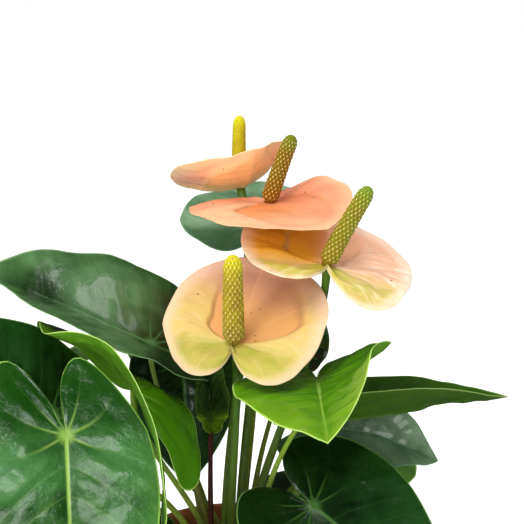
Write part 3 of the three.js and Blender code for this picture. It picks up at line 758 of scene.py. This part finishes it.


# Leaf blade: deep green with mottled patches of painted sheen that stand for the room's
# reflection, thin paler veins that show most near the junction, a light margin, and a dull, paler
# underside
def leaf_paint(name, look):
    paint = Paint(name)
    step, times, over = paint.step, paint.times, paint.over
    tone = linear_tones(look)
    u, ahead, share = paint.attribute("flat")
    side, basal, lobes = paint.attribute("veins")
    away, face, _ = paint.attribute("face")
    below = step(face, -0.6, -0.1, 1.0, 0.0)

    # Patches, streaks along the veins, the darker back lobes, and patches of painted sheen
    cloud = paint.noise(24.0)
    blotches = paint.noise(70.0, 5.0, 0.6)
    along_veins = paint.vector(times(basal, 1.2), times(side, 0.9), ahead)
    streaks = paint.noise(1.8, 5.0, 0.6, at=along_veins)
    paint.colour = paint.mix(step(cloud, 0.36, 0.62), tone["deep"], tone["field"])
    over(step(streaks, 0.42, 0.8, 0.0, 0.3), tone["fresh"])
    over(step(share, 0.7, 1.0, 0.0, 0.3), tone["fresh"])
    behind = step(paint.plus(ahead, times(cloud, 0.2)), 0.22, 0.04)
    over(times(behind, 0.85), tone.get("lobe", tone["deep"]))
    # Painted sheen: pale patches that stand for the room's reflection, kept off the back lobes
    sheen_mask = times(step(streaks, 0.3, 0.7, 0.6, 1.0), step(cloud, 0.26, 0.7))
    sheen_mask = times(sheen_mask, paint.less(1.0, times(behind, 0.9)), look["sheen_share"])
    over(sheen_mask, tone["bloom"])

    # Veins: side veins, basal veins in the back lobes, the midrib, and the hub at the junction
    side_line = step(paint.vein_gap(side, SIDE_GAP), 0.12, 0.7, 0.1, 0.0)
    basal_gap = paint.vein_gap(basal, times(away, BASAL_STEP))
    basal_line = paint.less(1.0, step(basal_gap, 0.2, 0.95))
    basal_line = times(basal_line, step(away, 5.0, 26.0, 0.5, 0.05))
    lobe_share = step(lobes, 0.45, 0.55)
    lines = paint.plus(side_line, times(lobe_share, paint.less(basal_line, side_line)))
    lines = times(lines, step(share, 0.8, 0.93, 1.0, 0.0))
    rib_width = step(ahead, 0.0, 0.95, 1.5, 0.35)
    rib = step(paint.math("DIVIDE", paint.math("ABSOLUTE", u), rib_width), 0.4, 1.15, 1.0, 0.0)
    rib = times(rib, step(ahead, 0.0, 1.0, 0.9, 0.35), step(ahead, -0.02, 0.02))
    hub = step(away, 1.5, 7.0, 0.8, 0.0)
    veins = paint.math("MAXIMUM", paint.math("MAXIMUM", lines, rib), hub)
    over(veins, tone["vein"])

    # Underside and margin
    under = paint.mix(times(veins, 0.6), tone["under"], tone["vein"])
    over(below, paint.mix(times(cloud, 0.4), under, tone["field"]))
    over(step(share, 0.98, 0.994, 0.0, 0.8), tone["rim"])

    # Relief: fine grain, creases, dents, rolls along the veins, and the sunk veins
    paint.bump(paint.noise(900.0, 2.0), 0.00005, 0.5)
    paint.bump(paint.noise(280.0), 0.0006, 0.55)
    paint.bump(blotches, 0.0008, 0.45)
    paint.bump(streaks, look.get("rolls", 0.0011), 0.45)
    paint.bump(times(veins, -1.0), 0.00025, 0.6)
    gloss = step(blotches, 0.3, 0.75, look["gloss"], look["gloss"] + 0.08)
    return paint.finished(
        Roughness=paint.plus(gloss, times(below, 0.2)), Specular_IOR_Level=look.get("shine", 0.45),
        Coat_Weight=look.get("coat", 0.35), Coat_Roughness=0.1,
    )


# Spathe: waxen, with a darker cup that is partly painted shade in its hollow, a paler field,
# greenish back lobes, a blush towards the tip, streaks along the veins, painted shade along the
# crease at the cup's edge and a few small dark specks
def spathe_paint(name, look):
    paint = Paint(name)
    step, times, over = paint.step, paint.times, paint.over
    tone = linear_tones(look)
    u, ahead, share = paint.attribute("flat")
    _, basal, inside = paint.attribute("veins")
    away, face, theta = paint.attribute("face")
    fan = paint.vector(times(basal, 3.6), times(share, 2.4), ahead)
    streaks = paint.noise(1.9, 4.0, 0.55, at=fan)
    cloud = paint.noise(48.0, 4.0)
    drift = times(paint.less(cloud, 0.5), 0.5)
    band = paint.plus(inside, times(drift, 0.5))
    lobe_edge = paint.plus(theta, times(paint.less(streaks, 0.5), 0.45))
    in_lobe = step(lobe_edge, math.radians(84), math.radians(122), 0.0, 0.92)
    patchy = times(in_lobe, step(cloud, 0.36, 0.62, 1.0, 0.65))
    tipward = step(paint.plus(ahead, drift), 0.2, 0.72, 0.0, 0.85)
    pale = step(streaks, 0.5, 0.26, 0.0, look.get("streaks", 0.3))
    pale = times(pale, step(band, 1.0, 1.3), paint.less(1.0, times(in_lobe, 0.7)))

    def face_colour(prefix):
        cup, field, lobe, blush = (tone[prefix + part] for part in ("cup", "field", "lobe", "blush"))
        # The cup's darker tone is partly painted shade in its hollow
        paint.colour = paint.mix(step(band, 0.9, 1.15), cup, field)
        over(patchy, lobe)
        over(tipward, blush)
        over(step(streaks, 0.54, 0.8, 0.0, 0.16), cup)
        over(pale, tone["rim"])
        return paint.colour

    below = step(face, -0.6, -0.1, 1.0, 0.0)
    paint.colour = paint.mix(below, face_colour(""), face_colour("under_"))

    # Pale veins, the tinted wing, which on the right bloom is painted shade, the pale margin and
    # painted shade along the crease at the cup's edge
    gap = paint.vein_gap(basal, times(away, BASAL_STEP))
    line = step(gap, 0.15, 0.8, look.get("lines", 0.16), 0.0)
    line = times(line, step(share, 0.8, 0.96, 1.0, 0.0), step(share, 0.3, 0.6))
    over(line, tone["rim"])
    # On the right bloom this tinted wing is painted shade, the top bloom's shadow on it with painted
    # light through it
    if "left" in look:
        wing = step(u, -4.0, 12.0, 0.0, look["left_share"])
        over(times(wing, paint.less(1.0, in_lobe), paint.less(1.0, below)), tone["left"])
    over(step(share, 0.78, 0.99, 0.0, 0.65), tone["rim"])
    # Painted shade: a darker copy of the cup colour along the crease at the cup's edge
    crease = step(paint.math("ABSOLUTE", paint.less(inside, 0.98)), 0.0, 0.09, 0.5, 0.0)
    crease = times(crease, step(theta, 0.3, 0.7), step(theta, 1.3, 1.7, 1.0, 0.0))
    over(crease, linear(look["cup"], 0.8))

    specks = step(paint.cells(130.0), 0.06, 0.1, 1.0, 0.0)
    specks = times(specks, step(paint.noise(90.0, 0.0), 0.5, 0.53))
    over(specks, linear((120, 74, 48)))

    # Relief: fine cells, puckers, ridges along the veins and dents
    paint.bump(paint.cells(800.0), 0.0001, 0.35)
    paint.bump(paint.noise(150.0, 2.0), 0.0008, 0.45)
    paint.bump(times(streaks, step(inside, 0.8, 1.3, 0.2, 1.0)), 0.0016, 0.4)
    paint.bump(cloud, 0.0016, 0.4)
    return paint.finished(
        Roughness=step(streaks, 0.3, 0.7, 0.34, 0.48), Coat_Weight=0.22, Coat_Roughness=0.2,
        Subsurface_Weight=0.3, Subsurface_Radius=(1.0, 0.5, 0.3), Subsurface_Scale=0.0025,
    )


# Spadix: yellow to green along its length, with painted shade in the grooves between the florets and a
# pale dot on each floret
def spadix_paint(name, look):
    paint = Paint(name)
    tone = linear_tones(look)
    along, net, _ = paint.attribute("floret")
    cloud = paint.noise(160.0)
    paint.colour = paint.mix(paint.step(along, 0.05, 0.45), tone["foot"], tone["body"])
    paint.over(paint.step(along, 0.72, 1.0), tone["tip"])
    # Painted shade: a darker copy of the body colour in the grooves between the florets
    paint.over(paint.step(net, -0.8, 0.0, 0.5, 0.0), linear(look["body"], 0.8))
    paint.over(paint.step(cloud, 0.35, 0.7, 0.0, 0.3), tone["tip"])
    uneven = paint.times(paint.less(paint.noise(620.0, 1.0), 0.5), 0.8)
    dots = paint.step(paint.plus(net, uneven), 0.62, 0.86, 0.0, look["dots"])
    paint.over(dots, linear((240, 228, 156)))
    paint.bump(paint.noise(2200.0, 2.0), 0.00005, 0.5)
    return paint.finished(Roughness=paint.step(net, -0.5, 0.9, 0.6, 0.42), Specular_IOR_Level=0.25)


# Stem: foot and top colours with lengthwise streaks, small pale flecks and a paler top end
def stem_paint(name, foot, top, roughness):
    paint = Paint(name)
    along, _, _ = paint.attribute("along")
    stretched = paint.node("VectorMath", {0: paint.place(), 1: (1.0, 1.0, 0.12)}, operation="MULTIPLY")
    streaks = paint.noise(420.0, at=stretched)
    paler = linear([min(255, c * 1.3 + 16) for c in top])
    paint.colour = paint.mix(paint.step(along, 0.0, 0.75), linear(foot), linear(top))
    paint.over(paint.step(streaks, 0.45, 0.75, 0.0, 0.5), linear(top, 0.6))
    paint.over(paint.step(paint.cells(420.0), 0.12, 0.2, 0.35, 0.0), paler)
    paint.over(paint.step(along, 0.9, 0.97, 0.0, 0.45), paler)
    paint.bump(streaks, 0.0003, 0.4)
    return paint.finished(Roughness=paint.step(streaks, 0.3, 0.7, roughness, roughness + 0.15))


# Fired clay: clouded, with pale and dark grains and the fine rings of the wheel
def pot_paint():
    paint = Paint("clay")
    cloud = paint.noise(18.0, 4.0)
    fine = paint.noise(320.0, 4.0, 0.7)
    paint.colour = paint.mix(paint.step(cloud, 0.3, 0.7), linear((176, 98, 64)), linear((196, 118, 80)))
    paint.over(paint.step(fine, 0.55, 0.8, 0.0, 0.45), linear((214, 150, 112)))
    paint.over(paint.step(fine, 0.42, 0.25, 0.0, 0.4), linear((146, 76, 48)))
    height = paint.node("SeparateXYZ", {0: paint.place()}, 2)
    turned = paint.noise(700.0, 2.0, at=paint.vector(0.0, 0.0, height))
    paint.bump(fine, 0.0004, 0.5)
    paint.bump(turned, 0.0002, 0.35)
    return paint.finished(Roughness=paint.step(cloud, 0.3, 0.7, 0.78, 0.92))


def earth_paint(name, dark, light, scale, roughness=0.95):
    paint = Paint(name)
    crumb = paint.noise(scale, 5.0, 0.7)
    grit = paint.noise(scale * 4.0, 2.0)
    paint.colour = paint.mix(paint.step(crumb, 0.35, 0.68), linear(dark), linear(light))
    paint.over(paint.step(grit, 0.6, 0.75, 0.0, 0.5), linear(light, 1.25))
    paint.bump(crumb, 0.0009, 0.6)
    return paint.finished(Roughness=roughness)


# Level ring of points round the pot's axis, one at each turn
def ring(radius, height, turn):
    return np.column_stack((radius * np.cos(turn), radius * np.sin(turn), np.full(turn.shape, height)))


# Profile with each corner rounded by an arc, in (radius, height) pairs
def rounded(profile, radii, steps=5):
    profile = np.array(profile, float)
    done = [profile[0]]
    for before, corner, following, radius in zip(profile, profile[1:], profile[2:], radii):
        first = corner + unit(before - corner) * radius
        second = corner + unit(following - corner) * radius
        for t in np.linspace(0, 1, steps):
            done.append((1 - t) ** 2 * first + 2 * t * (1 - t) * corner + t * t * second)
    return [*done, profile[-1]]


# Radius of the pot's tapered outside, below its band
def pot_radius(z):
    return POT_BASE_RADIUS + (POT_RIM_RADIUS - POT_BAND_STEP - POT_BASE_RADIUS) * z / POT_BAND_FOOT


POT_SIDES = 144
MIX_SIDES = 150
MIX_RINGS = 44


def clay_pot():
    """Body turned about Z from a profile that starts and ends on the axis, with drilled drain holes."""
    lip = POT_RIM_RADIUS - POT_WALL
    profile = [
        (0, 0), (POT_BASE_RADIUS - 0.2, 0), (pot_radius(POT_BAND_FOOT), POT_BAND_FOOT),
        (POT_RIM_RADIUS - 1, POT_BAND_FOOT + 0.8), (POT_RIM_RADIUS, POT_HEIGHT),
        (lip, POT_HEIGHT), (lip - 1.5, POT_HEIGHT - 3),
        (pot_radius(POT_BAND_FOOT) - POT_WALL, MIX_EDGE),
        (pot_radius(POT_FLOOR) - POT_WALL, POT_FLOOR), (0, POT_FLOOR),
    ]
    profile = rounded(profile, (1.6, 0.5, 0.9, 2.0, 1.6, 1.2, 1.5, 3.0))
    rows = [ring(r, z, turns(POT_SIDES)) for r, z in profile[1:-1]]
    points = np.concatenate((*rows, ((0, 0, 0), (0, 0, POT_FLOOR))))
    pot = mesh_object("pot", points, tube_faces(len(rows), POT_SIDES), pot_paint(), "pot")
    drill = bmesh.new()
    for i in range(DRAIN_COUNT):
        angle = math.tau * (i + 0.5) / DRAIN_COUNT
        made = bmesh.ops.create_cone(
            drill, segments=32, radius1=DRAIN_RADIUS * MM, radius2=DRAIN_RADIUS * MM,
            depth=POT_FLOOR * 3 * MM, cap_ends=True,
        )
        way = Vector((*polar(DRAIN_RING * MM, angle), POT_FLOOR / 2 * MM))
        bmesh.ops.translate(drill, verts=made["verts"], vec=way)
    mesh = bpy.data.meshes.new("drill")
    drill.to_mesh(mesh)
    drill.free()
    cutter = linked("drill", mesh)
    cut = pot.modifiers.new("drains", "BOOLEAN")
    cut.operation = "DIFFERENCE"
    cut.object = cutter
    bpy.context.view_layer.objects.active = pot
    bpy.ops.object.modifier_apply(modifier=cut.name)
    bpy.data.objects.remove(cutter)


# Height, wavelength and seed of each size of lump in the mix
LUMPS = ((0.5, 19, 3), (0.35, 7, 4), (0.25, 3.2, 5))


# Top of the mix: a low dome with lumps of several sizes
def mix_height(x, y):
    radius = np.hypot(x, y)
    places = np.column_stack((x, y))
    lumps = sum(size * ripples(places, wave, seed) for size, wave, seed in LUMPS)
    return MIX_TOP - MIX_DOME * (radius / MIX_RADIUS) ** 2 + lumps


def potting_mix(paint):
    turn = turns(MIX_SIDES)
    low = POT_FLOOR + CLEARANCE
    inset = POT_WALL + CLEARANCE
    edge = pot_radius(MIX_EDGE) - inset
    points = [
        ring(pot_radius(POT_FLOOR) - inset - MIX_BEVEL_WIDTH, low, turn),
        ring(pot_radius(POT_FLOOR + MIX_BEVEL_HEIGHT) - inset, low + MIX_BEVEL_HEIGHT, turn),
        ring(edge, MIX_EDGE, turn),
    ]
    for k in range(MIX_RINGS, 0, -1):
        radius = (edge + 0.1) * k / MIX_RINGS
        x, y = radius * np.cos(turn), radius * np.sin(turn)
        points.append(np.column_stack((x, y, mix_height(x, y))))
    faces = tube_faces(len(points), MIX_SIDES)
    peak = mix_height(np.zeros(1), np.zeros(1))[0]
    points = np.concatenate((*points, ((0, 0, low), (0, 0, peak))))
    return mesh_object("potting_mix", points, faces, paint, "potting_mix")


# Loose bits lie this far out at most, and this far from the middle of a stem's foot
CRUMB_REACH = 54.0
STEM_ROOM = 2.6


# Loose bits lying on the mix, clear of the stems: each a squashed and dented ball
def crumbs(name, count, sizes, flat, paint, feet, seed):
    draw = np.random.default_rng(seed)
    ball = bmesh.new()
    bmesh.ops.create_icosphere(ball, subdivisions=2, radius=1.0)
    shape = np.array([v.co for v in ball.verts])
    links = np.array([[v.index for v in f.verts] for f in ball.faces])
    ball.free()
    points = []
    faces = []
    while len(points) < count:
        radius = CRUMB_REACH * math.sqrt(draw.uniform())
        x, y = polar(radius, draw.uniform(0, math.tau))
        size = draw.uniform(*sizes)
        if min(math.hypot(x - fx, y - fy) for fx, fy in feet) < STEM_ROOM + size:
            continue
        dents = 1 + 0.22 * ripples(shape, 1.6, draw.integers(1 << 30))
        wide, deep, high = draw.uniform(0.8, 1.5), draw.uniform(0.6, 1.0), draw.uniform(0.7, 1.3)
        scale = size * np.array((wide, deep, flat * high))
        cosine, sine = polar(1, draw.uniform(0, math.tau))
        tilt = draw.normal(0, 0.25, 2)
        bit = shape * dents[:, None] * scale
        bit[:, 2] += bit[:, 0] * tilt[0] + bit[:, 1] * tilt[1]
        spun = bit @ np.array(((cosine, sine, 0), (-sine, cosine, 0), (0, 0, 1)))
        ground = mix_height(np.array([x]), np.array([y]))[0]
        faces.append(links + len(shape) * len(points))
        points.append(spun + (x, y, ground + 0.25 * size * flat))
    return mesh_object(name, np.concatenate(points), np.concatenate(faces), paint, None)


# Plant
LEAF_PAINTS = {name: leaf_paint(f"leaf_{name}", look) for name, look in LEAF_LOOKS.items()}
PETIOLE_PAINTS = {
    "green": stem_paint("petiole_green", (126, 136, 44), (126, 158, 40), 0.38),
    "olive": stem_paint("petiole_olive", (132, 116, 48), (116, 142, 40), 0.38),
    "red": stem_paint("petiole_red", (96, 44, 30), (74, 30, 26), 0.34),
}
PEDUNCLE_PAINT = stem_paint("peduncle", (104, 126, 36), (74, 110, 24), 0.36)
STEM_COLOURS = {"deep": "olive", "grey": "olive", "bronze": "red"}

for number, (place, own) in enumerate(LEAVES.items()):
    spec = {**USUAL, **own}
    blade(
        f"leaf_{place}_blade", spec, LEAF_OUTLINE, LEAF_NET, LEAF_THICKNESS,
        leaf_relief, LEAF_PAINTS[spec["look"]], number + 10,
    )
    stem(
        f"leaf_{place}_petiole", spec, LEAF_THICKNESS, petiole_radius,
        PETIOLE_PAINTS[STEM_COLOURS.get(spec["look"], "green")],
    )

for number, (place, own) in enumerate(BLOOMS.items()):
    spec = {**USUAL, **own}
    blade(
        f"bloom_{place}_spathe", spec, SPATHE_OUTLINE, SPATHE_NET, SPATHE_THICKNESS,
        spathe_relief, spathe_paint(f"spathe_{place}", SPATHE_LOOKS[place]), number + 60,
    )
    look = SPADIX_LOOKS[place]
    spadix(f"bloom_{place}_spadix", spec, look["relief"], spadix_paint(f"spadix_{place}", look))
    stem(f"bloom_{place}_peduncle", spec, SPATHE_THICKNESS, peduncle_radius, PEDUNCLE_PAINT)

# Pot and mix
clay_pot()
potting_mix(earth_paint("peat", (34, 24, 18), (70, 52, 38), 260.0))
FEET = [foot_place(spec) for spec in (*LEAVES.values(), *BLOOMS.values())]
PEAT = earth_paint("crumb", (44, 32, 22), (86, 64, 44), 420.0)
BARK = earth_paint("bark", (70, 42, 26), (122, 82, 52), 300.0)
PERLITE = earth_paint("perlite", (204, 200, 190), (236, 234, 228), 500.0, 0.9)
crumbs("peat_crumbs", 700, (0.6, 1.6), 0.8, PEAT, FEET, 21)
crumbs("bark_chips", 150, (1.8, 3.6), 0.42, BARK, FEET, 22)
crumbs("perlite", 90, (0.7, 1.5), 0.85, PERLITE, FEET, 23)

# Floor
floor_paint = Paint("floor")
floor_tone = floor_paint.noise(3.0)
floor_paint.colour = floor_paint.mix(floor_tone, linear((246, 246, 246)), linear((250, 250, 250)))
floor_mesh = bpy.data.meshes.new("floor")
FLOOR_HALF = 14.0
corners = [(x * FLOOR_HALF, y * FLOOR_HALF, 0.0) for x, y in ((-1, -1), (1, -1), (1, 1), (-1, 1))]
floor_mesh.from_pydata(corners, [], [(0, 1, 2, 3)])
floor_mesh.materials.append(
    floor_paint.finished(Roughness=0.9, Emission_Color=(1.0, 1.0, 1.0, 1.0), Emission_Strength=0.21)
)
floor = linked("floor", floor_mesh)
floor.visible_glossy = False


LAMP_AIM = Vector((0.0, 0.0, 0.27))


# Round lamp aimed at the middle of the plant. Glossy surfaces show it if it is mirrored, and the
# others show its light if it lights them.
def area_light(name, place, size, power, mirrored=True, lights=True):
    lamp = bpy.data.lights.new(name, "AREA")
    lamp.shape = "DISK"
    lamp.size = size
    lamp.energy = power
    holder = linked(name, lamp)
    holder.location = place
    holder.rotation_euler = aimed(LAMP_AIM - Vector(place))
    holder.visible_glossy = mirrored
    holder.visible_diffuse = lights


# The room is plain white where the camera sees it, lights the plant with ROOM_LIGHT, and shows as
# dark as GLOSS_LIGHT in glossy surfaces, which then mirror the lamps.
ROOM_LIGHT = 0.3
GLOSS_LIGHT = 0.025
room = Paint("room", "worlds")
rays = room.node("LightPath", {}).node.outputs
light = room.math("MULTIPLY_ADD", rays["Is Camera Ray"], 1.0 - ROOM_LIGHT, ROOM_LIGHT)
light = room.math("MULTIPLY_ADD", rays["Is Glossy Ray"], GLOSS_LIGHT - ROOM_LIGHT, light)
sky = room.tree.nodes["Background"].inputs
room.feed(sky["Color"], (1.0, 1.0, 1.0, 1.0))
room.feed(sky["Strength"], light)
bpy.context.scene.world = room.made

# Broad even light from high on the left in front, that glossy surfaces don't mirror
sun = bpy.data.lights.new("sky", "SUN")
sun.energy = 2.4
sun.angle = math.radians(50.0)
sun_holder = linked("sky", sun)
sun_holder.rotation_euler = aimed((0.42, 0.5, -1.0))
sun_holder.visible_glossy = False

# Lamps: a window on the left in front, the sky behind, a lamp high on the right, a highlight from
# the front for glossy surfaces alone, and light off the floor in front
area_light("window", (-0.85, -1.25, 0.85), 0.5, 8.0)
area_light("skylight", (-0.2, 0.9, 1.3), 1.0, 6.0, mirrored=False)
area_light("side", (0.6, 0.15, 1.35), 0.5, 3.4)
area_light("sheen", (0.02, -1.45, 0.8), 0.4, 2.6, lights=False)
area_light("bounce", (0.2, -1.3, 0.06), 1.2, 6.5, mirrored=False)

# Camera
camera = bpy.data.cameras.new("camera")
camera.lens = LENS
camera.sensor_width = SENSOR
tripod = linked("camera", camera)
back = Vector((0.0, -math.cos(ELEVATION), math.sin(ELEVATION)))
tripod.location = TARGET + back * DISTANCE
tripod.rotation_euler = aimed(-back)
bpy.context.scene.camera = tripod
bpy.context.scene.view_settings.view_transform = "Standard"
